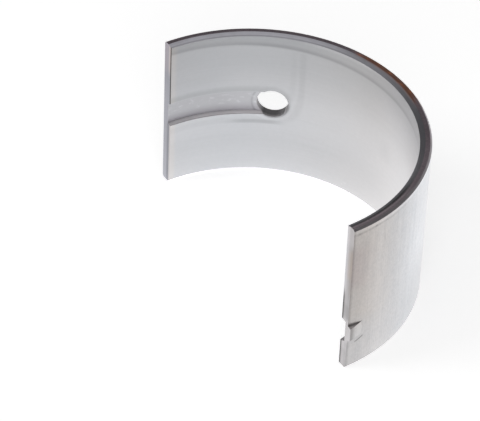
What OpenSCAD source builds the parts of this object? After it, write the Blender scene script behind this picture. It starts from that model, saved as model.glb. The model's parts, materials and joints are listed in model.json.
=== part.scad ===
// Engine bearing shell: the upper half of a split plain bearing, pressed from one lined steel strip.
// The journal axis is Z, the parting plane is Y = 0 and the crown of the shell points along +Y.
// The origin is on the journal axis, halfway between the two side faces. Lengths are in millimetres.

/* [Shell] */
// Diameter of the steel back, equal to the bore of the housing it sits in
back_d = 85; // [76:0.5:96]
// Wall thickness between the bore and the back
wall_t = 2.95; // [2.6:0.05:3.5]
// Width of the shell along the journal
shell_w = 43.5; // [36:0.5:50]

/* [Side rims] */
// Radial width of the wide bore bevel on the upper rim, which clears the corner radius of the journal
fillet_bevel_r = 1.3; // [0.6:0.05:1.4]
// Depth of the wide bore bevel along the journal
fillet_bevel_w = 0.55; // [0.3:0.05:1]
// Radial width of the narrow bore bevel on the lower rim
edge_bevel_r = 0.5; // [0.3:0.05:0.8]
// Depth of the narrow bore bevel along the journal
edge_bevel_w = 0.5; // [0.3:0.05:1.2]
// Chamfer on both edges of the back
back_chamfer = 0.45; // [0.3:0.05:0.8]

/* [Parting faces] */
// Bevel along the bore edge of each parting face
parting_bevel = 0.3; // [0.2:0.05:0.5]
// Length of the thinned bore next to each parting face
relief_l = 1.5; // [1:0.1:3]
// Depth of the thinned bore at the parting face
relief_d = 0.1; // [0.05:0.01:0.15]

/* [Oil feed] */
// Diameter of the oil hole through the wall
hole_d = 8.3; // [7.6:0.1:9.6]
// Angle round the bore from the grooved parting face to the middle of the oil hole
hole_angle = 39.5; // [30:0.5:60]
// Width of the oil groove at the bore
groove_w = 7.1; // [5:0.1:7.5]
// Width of each sloped side of the oil groove
groove_side_w = 0.5; // [0.3:0.05:1.2]
// Depth of the oil groove below the bore
groove_depth = 0.95; // [0.5:0.05:1.2]

/* [Locating tang] */
// Width of the pocket behind the tang along the journal, measured at the bore
tang_w = 6; // [5.2:0.1:7]
// Distance from the lower side face to the middle of the pocket
tang_height = 11.1; // [9:0.1:13]
// Distance from the parting face to the line where the tang bends out
tang_l = 3.6; // [3:0.1:4.4]
// Angle that the back of the tang is pushed out of the wall
tang_bend = 16; // [10:1:18]
// Angle that the punch has pushed into the bore behind the tang
pocket_bend = 28; // [20:1:30]
// Slope of the sheared upper flank of the tang and its pocket
shear_slope = 14; // [8:1:20]
// Slope of the drawn lower flank of the tang and its pocket
tang_flank = 32; // [25:1:40]
// How much lower the drawn flank lies on the tang than in the pocket
flank_drop = 0.4; // [0:0.1:1]

/* [Hidden] */
back_r = back_d / 2;
bore_r = back_r - wall_t;
half_w = shell_w / 2;
hole_r = hole_d / 2;
groove_edge = groove_w / 2;
groove_floor_edge = groove_edge - groove_side_w;
tang_low = tang_height - tang_w / 2 - half_w;
tang_high = tang_height + tang_w / 2 - half_w;
flank_rise = tan(tang_flank);
shear_rise = tan(shear_slope);
tang_turn = arc_angle(tang_l, bore_r);
tang_spare = arc_angle(3, bore_r);
relief_turn = arc_angle(relief_l, bore_r);
relief_tilt = atan(relief_d / relief_l);
groove_spare = arc_angle(1, bore_r);
far_side = back_d + 20;
pocket_reach = 4;
overlap = 0.5;
$fn = 180;

// Angle that an arc of this length takes on a circle of this radius
function arc_angle(length, radius) = length / radius * 180 / PI;

// Section of the wall, with its bevels, as radius against place along the journal
module wall_section()
  polygon([
    [bore_r, edge_bevel_w - half_w],
    [bore_r + edge_bevel_r, -half_w],
    [back_r - back_chamfer, -half_w],
    [back_r, back_chamfer - half_w],
    [back_r, half_w - back_chamfer],
    [back_r - back_chamfer, half_w],
    [bore_r + fillet_bevel_r, half_w],
    [bore_r, half_w - fillet_bevel_w]
  ]);

// Section of the tang or its pocket between two radii, narrower outward; drop lowers its drawn flank
module tang_section(inner_r, outer_r, drop)
  polygon([
    [inner_r, tang_low - drop + (inner_r - bore_r) * flank_rise],
    [outer_r, tang_low - drop + (outer_r - bore_r) * flank_rise],
    [outer_r, tang_high - (outer_r - bore_r) * shear_rise],
    [inner_r, tang_high - (inner_r - bore_r) * shear_rise]
  ]);

// Turns a shape outward about a line on the bore, this many degrees from the parting face
module swing_out(turn_at, tilt)
  translate([bore_r * cos(turn_at), bore_r * sin(turn_at), 0])
    rotate(tilt)
      translate([-bore_r * cos(turn_at), -bore_r * sin(turn_at), 0])
        children();

// A piece of the tang's ring between two radii, bent out of the wall
module bent_tang(inner_r, outer_r, bend, drop = 0)
  swing_out(tang_turn, bend)
    rotate(-tang_spare)
      rotate_extrude(angle = tang_turn + tang_spare)
        tang_section(inner_r, outer_r, drop);

// Takes off everything past the parting plane
module past_parting_plane()
  translate([-far_side / 2, -far_side, -far_side / 2])
    cube(far_side);

// Groove with sloped sides, from its parting face to the middle of the oil hole
module oil_groove()
  rotate(180 - hole_angle)
    rotate_extrude(angle = hole_angle + groove_spare)
      polygon([
        [bore_r - overlap, -groove_edge],
        [bore_r, -groove_edge],
        [bore_r + groove_depth, -groove_floor_edge],
        [bore_r + groove_depth, groove_floor_edge],
        [bore_r, groove_edge],
        [bore_r - overlap, groove_edge]
      ]);

// Round hole straight through the wall, pointing at the journal axis
module oil_hole()
  rotate(180 - hole_angle)
    translate([bore_r - wall_t, 0, 0])
      rotate([0, 90, 0])
        cylinder(r = hole_r, h = 3 * wall_t);

// Thinned bore and broken edge at the parting face on +X
module parting_edge() {
  swing_out(relief_turn, relief_tilt)
    cylinder(r = bore_r, h = shell_w + 2 * overlap, center = true);
  translate([bore_r, 0, 0])
    rotate(45)
      cube([parting_bevel * sqrt(2), parting_bevel * sqrt(2), shell_w + 2 * overlap], center = true);
}

module bearing_shell()
  color([0.74, 0.74, 0.73])
    difference() {
      union() {
        rotate_extrude(angle = 180)
          wall_section();
        bent_tang(back_r - wall_t / 2, back_r, tang_bend, flank_drop);
      }
      bent_tang(bore_r - pocket_reach, bore_r, pocket_bend);
      oil_groove();
      oil_hole();
      parting_edge();
      mirror([1, 0, 0])
        parting_edge();
      past_parting_plane();
    }

bearing_shell();
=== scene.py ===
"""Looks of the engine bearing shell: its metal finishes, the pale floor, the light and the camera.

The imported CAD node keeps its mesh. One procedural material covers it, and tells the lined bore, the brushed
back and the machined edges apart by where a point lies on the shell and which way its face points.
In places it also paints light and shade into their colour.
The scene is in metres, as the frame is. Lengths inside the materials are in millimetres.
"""

import json
import math
from collections import namedtuple
from types import SimpleNamespace

import bpy
from mathutils import Matrix, Vector


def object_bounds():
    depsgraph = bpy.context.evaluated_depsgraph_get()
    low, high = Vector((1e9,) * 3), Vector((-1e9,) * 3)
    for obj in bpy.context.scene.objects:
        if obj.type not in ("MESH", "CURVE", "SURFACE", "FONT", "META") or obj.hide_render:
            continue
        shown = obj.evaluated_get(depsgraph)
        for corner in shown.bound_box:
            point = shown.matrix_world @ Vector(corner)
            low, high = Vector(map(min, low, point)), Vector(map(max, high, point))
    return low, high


MM = 0.001

# Camera: seen from above and from the side of the parting face with the tang. Angles are in degrees.
VIEW_AZIMUTH = 56.26
VIEW_ELEVATION = 39.92
VIEW_ROLL = 2.27
VIEW_DISTANCE = 0.7379
AIM_RIGHT = -0.0033
AIM_UP = -0.0022
FOCAL_PX = 3000.0
IMAGE_WIDTH_PX = 480
SENSOR_MM = 36.0

# Floor: a gap under the lower rim, its own glow, and a painted glow beside the wall for the light that the
# wall bounces onto it, which fades over a reach in millimetres.
FLOOR_GAP = 0.05 * MM
FLOOR_REACH = 3.0
FLOOR_COLOUR = (0.9, 0.9, 0.9, 1.0)
FLOOR_GLOW = 0.62
FLOOR_GLOW_TO_CAMERA = 0.58
PAINTED_BOUNCE_INSIDE = 0.55
PAINTED_BOUNCE_OUTSIDE = 0.25
PAINTED_BOUNCE_REACH = 15.0

# Light: the world's brightness by the sine of the elevation, and two soft lamps.
SKY_STOPS = [(0.0, 1.0), (0.08, 1.0), (0.2, 0.13), (0.72, 0.13), (0.9, 0.45), (1.0, 0.65)]
SOFTBOX_SIZE = 0.7
KEY_PLACE = (-0.42, -0.9, 0.66)
KEY_POWER = 3.0
FILL_PLACE = (0.8, -0.5, 0.65)
FILL_POWER = 2.5

# Tones of the finishes, as linear grey values, and the two colours of the rust.
LINING_TONE = 0.47
GROOVE_TONE = 0.43
# FLANK_TONE_AND_REFLECTION is partly the flank's own tone and partly a painted bright reflection.
FLANK_TONE_AND_REFLECTION = 0.76
BACK_TONE = 0.55
TANG_END_TONE = 0.41
SHEAR_TONE = 0.66
GROOVE_END_TONE = 0.35
# HOLE_TONE_AND_SHADE is the hole wall's tone darkened by painted shade inside the hole.
HOLE_TONE_AND_SHADE = 0.22
SEAM_TONE = 0.10
# RIM_TONE_AND_DARK_REFLECTION is partly the side faces' own dark steel and partly a painted dark reflection.
RIM_TONE_AND_DARK_REFLECTION = 0.33
BEVEL_TONE = 0.47
OLD_RUST = (0.16, 0.065, 0.038, 1.0)
FRESH_RUST = (0.42, 0.13, 0.04, 1.0)

# Half the width of the oil groove. The faint lines round it and the hole run this far below the middle of the
# groove and past the middle of the hole, and their corner is rounded.
GROOVE_HALF_W = 3.55
HALO_BELOW = 5.5
HALO_PAST_HOLE = 7.5
HALO_CORNER = 14.0

# The band under the rim ends in a dark line. It lies this far below the rim at the tang end, and rises.
BAND_DOWN = 5.95
BAND_RISE = 0.028

# Lower and upper edge of the tang on the back, measured from the middle of the shell's width.
TANG_LOW = -12.3
TANG_HIGH = -8.6


class Num:
    """A number that varies over the surface, so that a formula of nodes reads as a formula."""

    def __init__(self, nodes, socket):
        self.nodes = nodes
        self.socket = socket

    def __add__(self, other):
        return self.nodes.math("ADD", self, other)

    def __radd__(self, other):
        return self.nodes.math("ADD", other, self)

    def __sub__(self, other):
        return self.nodes.math("SUBTRACT", self, other)

    def __rsub__(self, other):
        return self.nodes.math("SUBTRACT", other, self)

    def __mul__(self, other):
        return self.nodes.math("MULTIPLY", self, other)

    def __rmul__(self, other):
        return self.nodes.math("MULTIPLY", other, self)

    def __truediv__(self, other):
        return self.nodes.math("DIVIDE", self, other)

    def __abs__(self):
        return self.nodes.math("ABSOLUTE", self)


class Nodes:
    """Short names for the shader nodes that a material is wired from."""

    def __init__(self, tree):
        self.tree = tree

    def add(self, kind, **settings):
        node = self.tree.nodes.new(kind)
        for key, value in settings.items():
            setattr(node, key, value)
        return node

    def feed(self, socket, value):
        if isinstance(value, Num):
            value = value.socket
        if isinstance(value, bpy.types.NodeSocket):
            self.tree.links.new(value, socket)
        else:
            socket.default_value = value

    def math(self, operation, *values):
        node = self.add("ShaderNodeMath", operation=operation)
        for socket, value in zip(node.inputs, values):
            self.feed(socket, value)
        return Num(self, node.outputs[0])

    def length(self, u, v):
        """How far a point is from the origin of u and v."""
        return self.math("SQRT", u * u + v * v)

    def smaller(self, first, second, soft):
        """The smaller of two numbers, with a rounded change from one to the other."""
        return self.math("SMOOTH_MIN", first, second, soft)

    def step(self, value, low, high):
        """0 below low, 1 above high, and smooth between. With low above high it falls."""
        node = self.add("ShaderNodeMapRange", interpolation_type="SMOOTHSTEP")
        falls = low > high
        self.feed(node.inputs["Value"], value)
        node.inputs["From Min"].default_value = min(low, high)
        node.inputs["From Max"].default_value = max(low, high)
        node.inputs["To Min"].default_value = 1.0 if falls else 0.0
        node.inputs["To Max"].default_value = 0.0 if falls else 1.0
        return Num(self, node.outputs["Result"])

    def band(self, value, low, high, soft):
        """1 between low and high, with soft edges outside them."""
        return self.step(value, low - soft, low) * self.step(value, high + soft, high)

    def line(self, u, v, start, end, half_w):
        """1 on a thin straight line between two points, with faded ends."""
        reach = math.dist(start, end)
        fade = 0.2 * reach
        du, dv = ((b - a) / reach for a, b in zip(start, end))
        along = (u - start[0]) * du + (v - start[1]) * dv
        aside = abs((u - start[0]) * dv - (v - start[1]) * du)
        return self.step(aside, half_w, 0.0) * self.band(along, fade, reach - fade, fade)

    def spot(self, u, v):
        """1 at the middle of a soft round spot, 0 where u and v are a unit away from it."""
        return self.step(self.length(u, v), 1.0, 0.0)

    def blend(self, share, first, second):
        """A number between two others."""
        node = self.add("ShaderNodeMix", data_type="FLOAT")
        self.feed(node.inputs["Factor"], share)
        self.feed(node.inputs["A"], first)
        self.feed(node.inputs["B"], second)
        return Num(self, node.outputs["Result"])

    def noise(self, u, v, seed, detail=2.0, roughness=0.5):
        """Noise about 0, from about -0.5 to 0.5. Each seed gives a pattern of its own."""
        node = self.add("ShaderNodeTexNoise", noise_dimensions="3D")
        self.feed(node.inputs["Vector"], self.vector(u, v, seed))
        node.inputs["Scale"].default_value = 1.0
        node.inputs["Detail"].default_value = detail
        node.inputs["Roughness"].default_value = roughness
        return Num(self, node.outputs["Fac"]) - 0.5

    def vector(self, x, y, z):
        node = self.add("ShaderNodeCombineXYZ")
        for socket, value in zip(node.inputs, (x, y, z)):
            self.feed(socket, value)
        return node.outputs[0]

    def split(self, vector):
        node = self.add("ShaderNodeSeparateXYZ")
        self.feed(node.inputs[0], vector)
        return [Num(self, socket) for socket in node.outputs]

    def colour(self, tone, warm, pink):
        """A grey of this tone, redder where warm is above 0, bluer where it is below, less green by pink."""
        node = self.add("ShaderNodeCombineColor")
        channels = (tone * (1.0 + warm), tone * (1.0 - pink), tone * (1.0 - warm))
        for socket, value in zip(node.inputs, channels):
            self.feed(socket, value)
        return node.outputs[0]

    def mix_colour(self, share, first, second):
        node = self.add("ShaderNodeMix", data_type="RGBA")
        colour_inputs = [socket for socket in node.inputs if socket.type == "RGBA"]
        colour_output = next(socket for socket in node.outputs if socket.type == "RGBA")
        self.feed(node.inputs["Factor"], share)
        for socket, value in zip(colour_inputs, (first, second)):
            self.feed(socket, value)
        return colour_output


Look = namedtuple("Look", "tone warm pink rough relief")


def over(n, share, upper, under):
    """One look laid over another where share is 1."""
    return Look(*(n.blend(share, low, high) for low, high in zip(under, upper)))


def places(n, size):
    """Where a point lies on the shell, in millimetres, and which way its face points.

    along is measured round the bore from the parting face with the tang, deep from the bore outward, proud
    from the back outward, past_hole from the middle of the oil hole away from the groove, and off_hole from
    the hole's edge.
    """
    at = SimpleNamespace()
    at.x, at.y, at.z = (v / MM for v in n.split(n.add("ShaderNodeTexCoord").outputs["Object"]))
    at.nx, at.ny, at.nz = n.split(n.add("ShaderNodeNewGeometry").outputs["True Normal"])
    at.r = n.length(at.x, at.y)
    at.deep = at.r - size.bore_r
    at.proud = at.r - size.back_r
    at.outward = (at.nx * at.x + at.ny * at.y) / at.r
    at.from_top = size.half_w - at.z
    at.from_foot = size.half_w + at.z
    at.from_rim = size.half_w - abs(at.z)
    at.along = n.math("ARCTAN2", at.y, at.x) * size.bore_r
    at.from_groove_end = math.pi * size.bore_r - at.along
    at.from_parting = n.math("MINIMUM", at.along, at.from_groove_end)
    at.past_hole = size.hole_along - at.along
    at.off_hole = n.length(at.past_hole, at.z) - size.hole_r
    return at


def lining_tone_and_painted_light(n, at):
    """Painted light in the bore's tone: lighter below and towards the tang. It is also darker near the foot
    and above the groove near its end.
    """
    # Painted light: lower and to_tang make the bore lighter below and towards the tang.
    lower = n.step(at.z, 15.0, -1.0)
    to_tang = n.step(at.along, 72.0, 46.0)
    by_foot = n.step(at.z, -5.0, -13.0) * n.step(at.along, 52.0, 88.0)
    over_groove = n.band(at.z, 3.0, 8.0, 4.0) * n.step(at.along, 104.0, 118.0)
    return 0.93 + 0.19 * lower + to_tang * (0.41 - 0.22 * lower) - 0.10 * by_foot - 0.05 * over_groove


def rim_band(n, at, past_line):
    """Share of its tone that the lining keeps in the band under the rim, with a painted highlight just under
    the bevel, and the line that ends the band.
    """
    band = n.step(past_line, 0.6, 0.0) * (0.07 + 0.08 * n.step(at.along, 78.0, 96.0))
    tail = n.step(past_line, 6.0, 0.0) * n.step(at.along, 96.0, 78.0)
    line = n.step(past_line, -1.3, 0.0) * n.step(past_line, 0.8, 0.1) * n.step(at.along, 42.0, 58.0)
    line = line * (1.0 - 0.45 * n.step(at.along, 96.0, 110.0))
    # Painted highlight: a thin light line on the lining just under the upper bevel.
    painted_highlight_under_bevel = n.step(at.from_top, 1.6, 0.9) * n.band(at.along, 72.0, 84.0, 8.0)
    share = (1.0 - band - 0.05 * tail - 0.15 * line) * (1.0 + 0.12 * painted_highlight_under_bevel)
    return share, line


def oil_way_marks(n, at, past_line):
    """Share of its tone that the lining keeps round the hole and groove, and the faint lines round both.
    Round the hole's edge it also holds painted shade and a painted highlight that stand for a bevel the solid
    lacks.
    """
    beside_groove = n.step(at.past_hole, 2.0, -3.0)
    halo = n.smaller(HALO_PAST_HOLE - at.past_hole, at.z + HALO_BELOW, HALO_CORNER)
    lines = n.band(halo, -0.3, 0.3, 1.0) + 0.5 * n.band(halo, 2.2, 2.6, 1.0) * (1.0 - beside_groove)
    lines = lines * n.step(past_line, 0.0, 2.0)
    over_lip = n.step(at.z, 6.2, 4.2) * n.step(at.z, GROOVE_HALF_W - 0.1, GROOVE_HALF_W + 0.3)
    over_lip = over_lip * beside_groove
    crescent = n.band(at.z, -6.2, -5.6, 0.6) * n.band(at.past_hole, -7.0, -1.0, 6.0)
    over_hole = n.step(at.off_hole, 2.05, 0.45) * n.step(at.z, 1.0, 3.0) * (1.0 - over_lip)
    # Painted shade of a bevel round the hole that the solid lacks: on its far side and at its lower edge,
    # with a painted highlight below it.
    far_side_painted_shade = n.step(at.off_hole, 1.25, 0.15) * n.step(at.past_hole, 1.5, 4.0)
    edge = n.step(at.off_hole, 0.6, 0.15) * n.step(at.z, 2.0, -1.0) * n.step(at.past_hole, -3.0, -1.0)
    light = n.band(at.off_hole, 0.75, 1.15, 0.4) * n.step(at.z, -1.5, -3.0)
    share = (1.0 - 0.06 * lines - 0.17 * over_lip - 0.16 * crescent) * (1.0 - 0.12 * over_hole)
    share = share * (1.0 - 0.12 * far_side_painted_shade - 0.36 * edge + 0.05 * light)
    return share, lines


def lining_look(n, at):
    """Satin bearing layer of the bore, with a darker band under the rim and faint lines round the oil way."""
    cloud = n.noise(at.along * 0.05, at.z * 0.07, 1.0)
    turned = n.noise(at.along * 0.04, at.z * 2.2, 2.0, detail=3.0)
    speck = n.noise(at.along * 0.9, at.z * 0.9, 3.0, detail=3.0)
    past_line = at.from_top + BAND_RISE * at.along - BAND_DOWN
    band_share, line = rim_band(n, at, past_line)
    oil_share, halo_lines = oil_way_marks(n, at, past_line)
    smudge = n.spot((at.along - 62.5) / 4.0, (at.z + 1.0) / 5.0)
    fleck = n.step(n.noise(at.along * 1.3, at.z * 1.6, 4.0, detail=3.0), 0.12, 0.2)
    fleck = fleck * n.band(at.from_foot, 1.2, 3.2, 0.8) * n.band(at.along, 76.0, 93.0, 4.0)
    end = n.step(at.from_groove_end, 2.2, 0.9)
    to_groove = n.step(at.along, 60.0, 105.0)
    # Painted light in the bore's tone: lighter below and towards the tang.
    tone = LINING_TONE * lining_tone_and_painted_light(n, at) * (1.0 + 0.10 * cloud + 0.07 * turned + 0.06 * speck)
    tone = tone * band_share * oil_share * (1.0 - 0.04 * smudge + 0.12 * fleck) * (1.0 + 0.05 * end)
    return Look(
        tone=tone,
        warm=n.blend(to_groove, 0.005, -0.026) + 0.035 * end + 0.02 * cloud,
        pink=0.011,
        rough=0.42 + 0.1 * cloud,
        relief=0.004 * turned + 0.004 * speck - 0.006 * line - 0.004 * halo_lines,
    )


def groove_look(n, at):
    """Floor of the oil groove, with painted shade towards its lower corner, pale flecks, and a painted light
    and dark ring round the hole for a bevel that the solid lacks.
    """
    fleck = n.step(n.noise(at.along * 0.6, at.z * 1.1, 5.0, detail=4.0), 0.04, 0.14)
    fleck = fleck * n.band(at.z, -0.3, 2.0, 0.8)
    milled = n.noise(at.along * 0.06, at.z * 3.0, 6.0, detail=3.0)
    # Painted shade: the floor darkens towards the groove's lower corner.
    corner = n.step(at.z, 0.2, -3.2)
    by_hole = n.step(at.off_hole, 8.85, 3.85)
    # Painted highlight and shade of a bevel round the hole: a light ring at its edge and a dark ring beyond.
    ring = n.band(at.off_hole, 0.05, 0.65, 0.2) - 2.0 * n.band(at.off_hole, 1.05, 1.25, 0.25)
    tone = GROOVE_TONE * (1.0 + 0.13 * fleck + 0.08 * milled - 0.27 * corner + 0.07 * ring + 0.06 * by_hole)
    return Look(tone=tone, warm=-0.024, pink=0.02 + 0.03 * corner, rough=0.42, relief=0.004 * milled)


def flank_look(n, at):
    """Sloped sides of the oil groove, partly their own tone and partly a painted reflection that makes them
    bright, between painted shade at the lip and in the corner.
    """
    grain = n.noise(at.along * 0.3, at.r * 4.0, 16.0, detail=3.0)
    # Painted shade at the groove's lip and in its lower corner, either side of the painted bright reflection.
    lip = n.step(at.deep, 0.28, 0.1)
    corner = n.step(at.deep, 0.55, 0.85)
    tone = FLANK_TONE_AND_REFLECTION * (1.0 + 0.2 * grain - 0.25 * lip - 0.15 * corner)
    return Look(tone=tone, warm=0.0, pink=0.03, rough=0.45, relief=0.004 * grain)


def hole_look(n, at):
    """Wall of the oil hole, darkened by painted shade that is deeper on its far side and lighter in its
    middle and at its bore edge, with a paler streak away from the groove.
    """
    grain = n.noise(at.along * 0.8, at.r * 3.0, 18.0, detail=3.0)
    # Painted light and shade inside the hole: lighter at the bore edge and in the middle, darker on the far
    # side.
    edge = n.step(at.deep, 1.2, 0.0) * (1.4 - 0.8 * n.step(at.past_hole, 1.4, 2.4))
    far_side_painted_shade = n.step(at.past_hole, 2.2, 3.0)
    streak = n.band(at.past_hole, 3.25, 3.4, 0.2)
    middle = n.band(at.past_hole, -1.4, 1.6, 0.8)
    tone = HOLE_TONE_AND_SHADE * (1.0 + edge - 0.65 * far_side_painted_shade + 0.8 * streak + 0.3 * grain) * (1.0 + 0.6 * middle)
    return Look(tone=tone, warm=0.0, pink=0.04, rough=0.4, relief=0.006 * grain)


def crown_painted_light_and_shadow(n, at, cloud):
    """Painted highlight along the back's upper edge under the rim, and a broken painted shadow line below it
    near the parting faces.
    """
    # Painted highlight along the upper edge and a painted shadow line below it.
    light = n.band(at.from_top, 0.5, 1.1, 0.3)
    broken = 0.7 + 3.0 * n.noise(at.along * 0.9, at.z * 0.2, 26.0)
    line = n.band(at.from_top + 0.8 * cloud, 1.7, 1.85, 0.45) * broken
    return 0.12 * light - 0.26 * line * n.step(at.from_parting, 22.0, 8.0)


def tang_edge_and_painted_shading(n, at):
    """Dark edge of the back along the parting faces, with painted shade on the tang's tip and painted light
    on its root.
    """
    above_tang = n.step(at.z, TANG_HIGH + 1.1, TANG_HIGH + 2.1)
    below_tang = n.step(at.z, TANG_LOW - 0.7, TANG_LOW - 1.7)
    edge = n.step(at.from_parting, 0.8, 0.15) * (above_tang + below_tang)
    on_tang = n.band(at.z, TANG_LOW, TANG_HIGH, 0.7)
    # Painted shade on the tang's tip and painted light on its root.
    tip = n.step(at.along, 1.7, 0.4)
    root = n.band(at.along, 2.0, 3.4, 0.6)
    return on_tang * (0.11 * root - 0.38 * tip) - 0.25 * edge


def crease_shade_and_scratches(n, at):
    """Painted shade along a crease below the tang, and a thin scratch and a nick near the upper rim."""
    # Painted shade: the crease has no shape of its own, only a dark line.
    crease = n.line(at.along, at.z, (1.9, -14.4), (4.8, -13.2), 0.32)
    scratch = n.line(at.along, at.z, (8.8, 20.0), (9.4, 13.0), 0.14)
    nick = n.spot((at.along - 6.2) / 0.7, (at.z - 20.1) / 0.5)
    return 0.58 * crease + 0.25 * (scratch + nick)


def back_look(n, at):
    """Steel back, brushed along the shell's width, browner towards the parting faces, with painted light low
    down away from them, a painted highlight and shadow line under the rim and painted shade on the tang.
    """
    streak = n.noise(at.along * 2.4, at.z * 0.05, 7.0, detail=4.0, roughness=0.65)
    scuff = n.noise(at.along * 2.2, at.z * 1.1, 17.0, detail=4.0, roughness=0.7)
    stripe = n.noise(at.along * 0.7, at.z * 0.02, 8.0)
    blotch = n.noise(at.along * 0.45, at.z * 0.3, 22.0, detail=3.0)
    cloud = n.noise(at.along * 0.08, at.z * 0.06, 9.0)
    near_end = n.step(at.from_parting + 4.0 * cloud, 11.0, 0.5)
    upper = n.step(at.z + 8.0 * cloud, -14.0, -4.0)
    # Painted light: side makes the back lighter low down and away from the parting faces.
    side = n.step(at.from_parting, 10.0, 28.0) * n.step(at.z, -20.0, 4.0)
    brown = n.step(at.from_parting + 5.0 * cloud, 16.0, 2.0) * upper
    stain = n.band(at.z + 6.0 * cloud, 6.0, 13.0, 5.0) * n.step(at.along, 7.0, 1.0)
    off_end = n.step(at.from_parting, 8.0, 22.0)
    tone = BACK_TONE * (1.0 - 0.18 * near_end - 0.08 * near_end * upper + 0.42 * side)
    tone = tone * (1.0 + 0.26 * streak + 0.45 * scuff + 0.14 * blotch + 0.12 * stripe)
    tone = tone * (1.0 + crown_painted_light_and_shadow(n, at, cloud) + tang_edge_and_painted_shading(n, at))
    tone = tone * (1.0 - crease_shade_and_scratches(n, at)) * (1.0 - 0.09 * stain)
    return Look(
        tone=tone,
        warm=n.blend(off_end, n.blend(brown, 0.008, 0.05), -0.025) + 0.03 * blotch + 0.015 * stain,
        pink=0.012 + 0.025 * stain,
        rough=0.32 + 0.14 * streak,
        relief=0.006 * streak + 0.003 * scuff,
    )


def end_patterns(n, at):
    """Fine grain and soft clouds of the parting faces."""
    return n.noise(at.z * 0.5, at.r * 5.0, 11.0, detail=3.0), n.noise(at.z * 0.15, at.r * 0.3, 12.0)


def tang_end_look(n, at):
    """Parting face with the tang: pale and then brown outward in its upper half, with a dark lining below."""
    grain, cloud = end_patterns(n, at)
    upper = n.step(at.z + 3.0 * cloud, -1.0, 4.0)
    top = n.step(at.z, 14.5, 17.5)
    inner = n.step(at.deep, 1.6, 0.7)
    lining = n.step(at.deep, 1.0, 0.6)
    strip = n.band(at.deep, 1.2, 1.9, 0.2)
    outer = n.step(at.deep, 1.5, 2.8) * (1.0 - top)
    stain = n.band(at.z + 3.0 * cloud, 7.5, 13.0, 2.5) * n.step(at.deep, 0.9, 1.8)
    dull = n.band(at.z, -5.5, -3.0, 1.5) + n.step(at.z, -15.5, -17.0)
    by_notch = n.band(at.z, -13.0, -7.5, 1.5)
    lower_half = 0.88 - 0.62 * lining + 0.09 * strip
    upper_half = 1.0 + 0.30 * inner + 0.08 * top - 0.24 * outer
    tone = TANG_END_TONE * n.blend(upper, lower_half, upper_half)
    tone = tone * (1.0 - 0.13 * dull + 0.22 * by_notch + 0.16 * grain + 0.12 * cloud)
    return Look(
        tone=tone,
        warm=0.01 + upper * (0.05 * outer - 0.02 * inner + 0.01 * top) + 0.06 * stain,
        pink=0.025,
        rough=0.36 + 0.1 * grain,
        relief=0.006 * grain,
    )


def shear_look(n, at):
    """Sheared flank of the tang, with painted shade where it leaves the back."""
    grain = n.noise(at.along * 1.5, at.r * 3.0, 25.0, detail=3.0)
    # Painted shade: the flank is darker near the corner where it meets the back.
    tone = SHEAR_TONE * (0.55 + 0.75 * n.step(at.proud, 0.1, 0.7) + 0.4 * grain)
    return Look(tone=tone, warm=0.03, pink=0.04, rough=0.45, relief=0.006 * grain)


def groove_end_look(n, at):
    """Parting face with the groove's mouth: bluish, cream at its top, and dark at its lower lining."""
    grain, cloud = end_patterns(n, at)
    upper = n.step(at.z, 0.0, 12.0)
    top = n.step(at.z, 11.0, 15.0)
    inner = n.step(at.deep, 1.3, 0.8)
    lining = n.step(at.deep, 1.5, 1.1) * n.step(at.z, -2.5, -3.5)
    outer = n.step(at.deep, 1.0, 2.6)
    tone = 1.0 - 0.08 * upper + 0.06 * (1.0 - upper) * outer - 0.30 * lining + top * (0.08 + 0.24 * inner)
    tone = GROOVE_END_TONE * tone * (1.0 + 0.16 * grain + 0.12 * cloud)
    return Look(
        tone=tone,
        warm=-0.055 + top * (0.04 + 0.07 * inner),
        pink=0.05 + 0.03 * top * (1.0 - inner),
        rough=0.36 + 0.1 * grain,
        relief=0.006 * grain,
    )


def seam_look(n, at):
    """Broken edge between a parting face and the bore, with a dark line above the groove."""
    grain = n.noise(at.z * 0.8, at.r * 2.0, 23.0, detail=3.0)
    line = n.step(at.from_parting, 0.26, 0.14) * n.step(at.z, -1.0, 1.0)
    tone = n.blend(line, LINING_TONE, SEAM_TONE * (1.0 + 0.5 * grain))
    warm = 0.02 + 0.06 * line * n.step(at.z, 10.0, 18.0)
    return Look(tone=tone, warm=warm, pink=0.02, rough=0.45, relief=0.004 * grain)


def rim_look(n, at):
    """Flat side faces, finely turned and stained brown, with a dark inner edge towards the tang end."""
    turned = n.noise(at.r * 6.0, at.along * 0.05, 13.0, detail=3.0)
    hatch = n.noise(at.along * 2.5, at.r * 1.2, 14.0, detail=3.0)
    by_tang = n.step(at.along, 24.0, 16.0)
    inner = by_tang * (n.step(at.deep, 1.6, 1.45) - 0.5 * n.band(at.deep, 1.7, 1.85, 0.12))
    level = 1.0 + 0.45 * n.step(at.along, 48.0, 34.0) - 0.2 * n.band(at.along, 22.0, 42.0, 4.0)
    # Part of the side faces' darkness is painted dark reflection, carried by the rim tone.
    tone = RIM_TONE_AND_DARK_REFLECTION * level * (1.0 + 0.7 * hatch + 0.9 * turned - 0.5 * inner)
    return Look(
        tone=tone,
        warm=0.035 + 0.06 * hatch,
        pink=0.14 - 0.03 * by_tang,
        rough=0.4 + 0.1 * hatch,
        relief=0.006 * hatch,
    )


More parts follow.
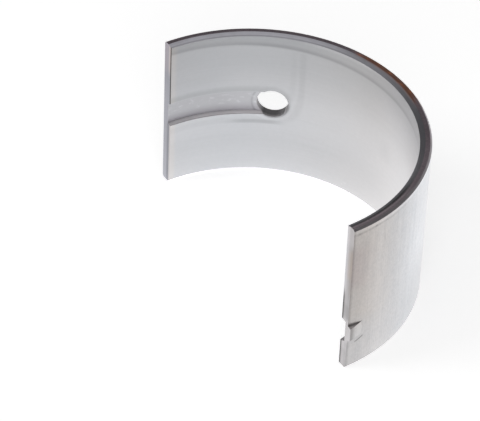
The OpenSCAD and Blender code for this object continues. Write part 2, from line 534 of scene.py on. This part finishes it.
def bevel_look(n, at):
    """Turned bore bevels along the rims, darker towards the tang end."""
    turned = n.noise(at.along * 0.4, at.r * 3.0, 15.0, detail=3.0)
    blotch = n.noise(at.along * 0.5, at.r * 0.8, 19.0, detail=3.0)
    level = 0.34 + 0.31 * n.step(at.along, 15.0, 28.0) + 0.33 * n.step(at.along, 40.0, 66.0)
    level = level + 0.32 * n.step(at.along, 72.0, 86.0) + 0.2 * n.step(at.along, 110.0, 119.0)
    level = level + 0.2 * n.band(at.along, 22.0, 30.0, 5.0) * n.step(at.deep, 0.8, 0.2)
    by_tang = n.step(at.along, 24.0, 16.0)
    outer = n.step(at.deep, 0.5, 1.1) * (0.06 + 0.74 * by_tang)
    inner = n.step(at.deep, 0.5, 0.25) * n.step(at.along, 70.0, 84.0)
    tone = BEVEL_TONE * level * (1.0 + 0.16 * turned + 0.25 * blotch) * (1.0 - outer - 0.22 * inner)
    return Look(tone=tone, warm=-0.035, pink=0.05, rough=0.38 + 0.1 * turned, relief=0.003 * turned)


def chamfer_look(n, at):
    """Broken outer edges of the side faces, darker towards the tang end."""
    nick = n.noise(at.along * 0.8, at.z * 0.5, 20.0, detail=3.0)
    tone = BEVEL_TONE * (1.0 + 0.3 * nick - 0.2 * n.step(at.along, 52.0, 40.0))
    return Look(tone=tone, warm=0.01, pink=0.06, rough=0.4, relief=0.004 * nick)


def shell_look(n, at):
    """The looks of all surfaces laid over each other, each on its own surface."""
    steep = abs(at.nz)
    near_rim = n.step(at.from_rim, 1.0, 0.8)
    in_groove = n.step(abs(at.z), GROOVE_HALF_W + 0.3, GROOVE_HALF_W + 0.1)
    is_tang_end = n.step(at.x, -10.0, 10.0)
    is_shear = n.step(at.nz, 0.6, 0.7) * n.step(at.x, 30.0, 35.0)
    is_hole = n.step(at.off_hole, 0.35, 0.25) * n.step(abs(at.outward), 0.3, 0.25)
    is_back = n.step(at.outward, 0.85, 0.95)
    is_lining = n.step(at.outward, -0.55, -0.65)
    is_floor = is_lining * in_groove * n.step(at.deep, 0.2, 0.4) * n.step(at.x, 0.0, -1.0)
    is_flank = n.step(at.outward, -0.25, -0.35) * n.step(steep, 0.6, 0.7) * in_groove
    is_seam = n.step(at.outward, -0.5, -0.6) * n.step(at.ny, -0.5, -0.6)
    is_seam = is_seam * n.step(at.from_parting, 0.7, 0.55)
    is_bevel = n.step(steep, 0.5, 0.6) * near_rim
    is_chamfer = n.step(at.outward, 0.2, 0.4)
    is_rim = n.step(steep, 0.955, 0.985) * near_rim

    look = over(n, is_tang_end, tang_end_look(n, at), groove_end_look(n, at))
    look = over(n, is_shear, shear_look(n, at), look)
    look = over(n, is_hole, hole_look(n, at), look)
    look = over(n, is_back, back_look(n, at), look)
    look = over(n, is_lining, lining_look(n, at), look)
    look = over(n, is_floor, groove_look(n, at), look)
    look = over(n, is_flank, flank_look(n, at), look)
    look = over(n, is_seam, seam_look(n, at), look)
    look = over(n, is_bevel, over(n, is_chamfer, chamfer_look(n, at), bevel_look(n, at)), look)
    return over(n, is_rim, rim_look(n, at), look)


def rust_patch(n, at):
    """How much rust covers the outer side of the upper rim, and the colour of that rust."""
    patch = n.noise(at.along * 0.35, at.r * 1.5, 21.0, detail=3.0) + n.band(at.along, 57.0, 71.0, 11.0)
    rust = n.step(patch, 0.2, 1.05) * n.step(at.deep, 0.7, 1.6) * n.step(at.nz, 0.4, 0.6)
    fresh = n.step(n.noise(at.along * 0.5, at.r * 1.2, 24.0), 0.0, 0.3)
    return rust, n.mix_colour(fresh, OLD_RUST, FRESH_RUST)


def shell_material(size):
    """Lined and brushed steel with a patch of rust."""
    material = bpy.data.materials.new("lined_steel")
    material.use_nodes = True
    n = Nodes(material.node_tree)
    at = places(n, size)
    look = shell_look(n, at)
    rust, rust_colour = rust_patch(n, at)

    shader = material.node_tree.nodes["Principled BSDF"]
    n.feed(shader.inputs["Metallic"], 1.0 - rust)
    metal_colour = n.colour(look.tone, look.warm, look.pink)
    n.feed(shader.inputs["Base Color"], n.mix_colour(rust, metal_colour, rust_colour))
    n.feed(shader.inputs["Roughness"], look.rough + 0.3 * rust)
    bump = n.add("ShaderNodeBump")
    bump.inputs["Strength"].default_value = 1.0
    bump.inputs["Distance"].default_value = MM
    n.feed(bump.inputs["Height"], look.relief)
    n.feed(shader.inputs["Normal"], bump.outputs["Normal"])
    return material


def floor_material(wall_r):
    """White to the camera, and to other rays brighter beside the wall, with a painted glow that stands for
    the light the wall bounces onto it.
    """
    material = bpy.data.materials.new("white_floor")
    material.use_nodes = True
    tree = material.node_tree
    tree.nodes.remove(tree.nodes["Principled BSDF"])
    n = Nodes(tree)
    diffuse = n.add("ShaderNodeBsdfDiffuse")
    diffuse.inputs["Color"].default_value = FLOOR_COLOUR
    x, y, _ = (v / MM for v in n.split(n.add("ShaderNodeTexCoord").outputs["Object"]))
    r = n.length(x, y)
    from_wall = n.blend(n.step(y, -1.0, 1.0), n.length(abs(x) - wall_r, y), abs(r - wall_r))
    strength = n.blend(n.step(r, wall_r - 2.0, wall_r + 2.0), PAINTED_BOUNCE_INSIDE, PAINTED_BOUNCE_OUTSIDE)
    # Painted bounce light: a glow on the floor beside the wall, fading with distance.
    painted_bounce = strength * n.math("EXPONENT", from_wall * (-1.0 / PAINTED_BOUNCE_REACH))
    rays = n.add("ShaderNodeLightPath")
    glow = n.add("ShaderNodeEmission")
    seen = n.blend(rays.outputs["Is Camera Ray"], FLOOR_GLOW + painted_bounce, FLOOR_GLOW_TO_CAMERA)
    n.feed(glow.inputs["Strength"], seen)
    both = n.add("ShaderNodeAddShader")
    n.feed(both.inputs[0], diffuse.outputs[0])
    n.feed(both.inputs[1], glow.outputs[0])
    n.feed(tree.nodes["Material Output"].inputs["Surface"], both.outputs[0])
    return material


def add_floor(height, wall_r):
    mesh = bpy.data.meshes.new("floor")
    corners = [(-1, -1), (1, -1), (1, 1), (-1, 1)]
    mesh.from_pydata([(x * FLOOR_REACH, y * FLOOR_REACH, height) for x, y in corners], [], [(0, 1, 2, 3)])
    floor = bpy.data.objects.new("floor", mesh)
    bpy.context.collection.objects.link(floor)
    floor.data.materials.append(floor_material(wall_r))


def add_world():
    """White round the horizon, dark above it and pale overhead, as over a lit table in a dim room."""
    world = bpy.data.worlds.new("studio")
    bpy.context.scene.world = world
    world.use_nodes = True
    n = Nodes(world.node_tree)
    ramp = n.add("ShaderNodeValToRGB")
    height = n.split(n.add("ShaderNodeTexCoord").outputs["Generated"])[2]
    n.feed(ramp.inputs["Fac"], height)
    stops = ramp.color_ramp.elements
    while len(stops) < len(SKY_STOPS):
        stops.new(0.5)
    for stop, (place, level) in zip(stops, SKY_STOPS):
        stop.position = place
        stop.color = (level, level, level, 1.0)
    background = world.node_tree.nodes["Background"]
    n.feed(background.inputs["Color"], ramp.outputs["Color"])
    background.inputs["Strength"].default_value = 1.0


def add_softbox(name, place, power):
    """A round area lamp that faces the origin."""
    lamp = bpy.data.lights.new(name, "AREA")
    lamp.shape = "DISK"
    lamp.size = SOFTBOX_SIZE
    lamp.energy = power
    box = bpy.data.objects.new(name, lamp)
    box.location = place
    box.rotation_mode = "QUATERNION"
    box.rotation_quaternion = (-Vector(place)).to_track_quat("-Z", "Y")
    bpy.context.collection.objects.link(box)


def add_camera():
    """A camera turned round the origin, rolled, and moved aside in its own picture plane."""
    azimuth, elevation, roll = (math.radians(v) for v in (VIEW_AZIMUTH, VIEW_ELEVATION, VIEW_ROLL))
    away = math.cos(elevation)
    back = Vector((math.sin(azimuth) * away, -math.cos(azimuth) * away, math.sin(elevation)))
    level = Vector((math.cos(azimuth), math.sin(azimuth), 0.0))
    upright = back.cross(level)
    right = level * math.cos(roll) + upright * math.sin(roll)
    up = upright * math.cos(roll) - level * math.sin(roll)
    lens = bpy.data.cameras.new("camera")
    lens.sensor_width = SENSOR_MM
    lens.lens = FOCAL_PX / IMAGE_WIDTH_PX * SENSOR_MM
    camera = bpy.data.objects.new("camera", lens)
    bpy.context.collection.objects.link(camera)
    spot = back * VIEW_DISTANCE + right * AIM_RIGHT + up * AIM_UP
    camera.matrix_world = Matrix.Translation(spot) @ Matrix((right, up, back)).transposed().to_4x4()
    bpy.context.scene.camera = camera


def mount(record, name):
    """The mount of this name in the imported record."""
    return next(m for m in record["mounts"] if m["name"] == name)


def shell_size(record, high):
    """The shell's main sizes and how far round the bore the middle of its oil hole is, in millimetres."""
    bore_r = mount(record, "journal_bore")["dims"]["r_mm"]
    back_r = high.y / MM
    hole = mount(record, "oil_hole")
    hole_x, hole_y, _ = hole["pos_m"]
    return SimpleNamespace(
        bore_r=bore_r,
        back_r=back_r,
        wall_r=(bore_r + back_r) / 2,
        half_w=high.z / MM,
        hole_r=hole["dims"]["r_mm"],
        hole_along=math.atan2(hole_y, hole_x) * bore_r,
    )


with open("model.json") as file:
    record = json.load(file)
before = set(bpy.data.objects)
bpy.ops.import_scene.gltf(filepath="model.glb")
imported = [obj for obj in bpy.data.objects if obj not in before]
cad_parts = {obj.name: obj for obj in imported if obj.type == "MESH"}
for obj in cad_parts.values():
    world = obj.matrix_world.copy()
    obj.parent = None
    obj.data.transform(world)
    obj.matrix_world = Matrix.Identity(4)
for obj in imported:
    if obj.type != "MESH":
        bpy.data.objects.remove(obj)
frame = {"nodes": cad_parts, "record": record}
cad_low, cad_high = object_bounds()
shell = frame["nodes"]["bearing_shell"]
size = shell_size(frame["record"], cad_high)

shell.data.materials.clear()
shell.data.materials.append(shell_material(size))

add_floor(cad_low.z - FLOOR_GAP, size.wall_r)
add_world()
add_softbox("key", KEY_PLACE, KEY_POWER)
add_softbox("fill", FILL_PLACE, FILL_POWER)
add_camera()

bpy.context.scene.view_settings.view_transform = "Standard"
